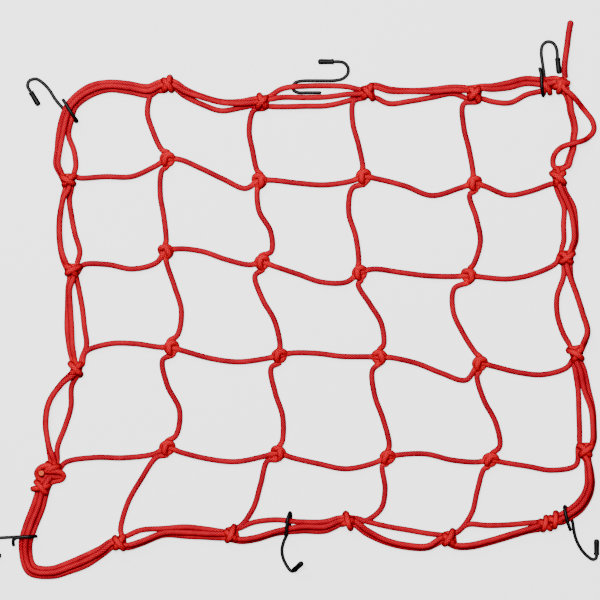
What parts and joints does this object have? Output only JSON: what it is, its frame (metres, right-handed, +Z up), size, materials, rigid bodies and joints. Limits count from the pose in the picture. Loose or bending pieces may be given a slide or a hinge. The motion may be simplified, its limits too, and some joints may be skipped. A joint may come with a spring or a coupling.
{
  "type": "helmet net",
  "caption": "Red elastic luggage net lying flat, knotted from covered cord with a doubled border cord, a loose cord end and black wire hooks round its edge.",
  "frame": {"origin": "on the surface that the net lies on, within 3 mm of the middle of its outline seen from above, the loose cord end left out", "axes": "+X along the net's longer side, towards the side that the loose cord end is on; +Y towards the edge that it points past, the top of the picture; +Z up off the surface"},
  "size_m": [0.4659, 0.419, 0.0139],
  "materials": {
    "red_elastic_cord": "braided red polyester cover on elastic cord, slightly silky",
    "black_coated_wire": "satin black coat on bent steel wire",
    "black_plastic_cap": "satin black soft plastic"
  },
  "bodies": {
    "root": {"net": "red_elastic_cord", "border_cord": "red_elastic_cord", "border_tail": "red_elastic_cord", "hook_1": "black_coated_wire", "hook_2": "black_coated_wire", "hook_3": "black_coated_wire", "hook_4": "black_coated_wire", "hook_5": "black_coated_wire", "hook_6": "black_coated_wire", "hook_tip_1": "black_plastic_cap", "hook_tip_2": "black_plastic_cap", "hook_tip_3": "black_plastic_cap", "hook_tip_4": "black_plastic_cap", "hook_tip_5": "black_plastic_cap", "hook_tip_6": "black_plastic_cap"}
  },
  "joints": []
}
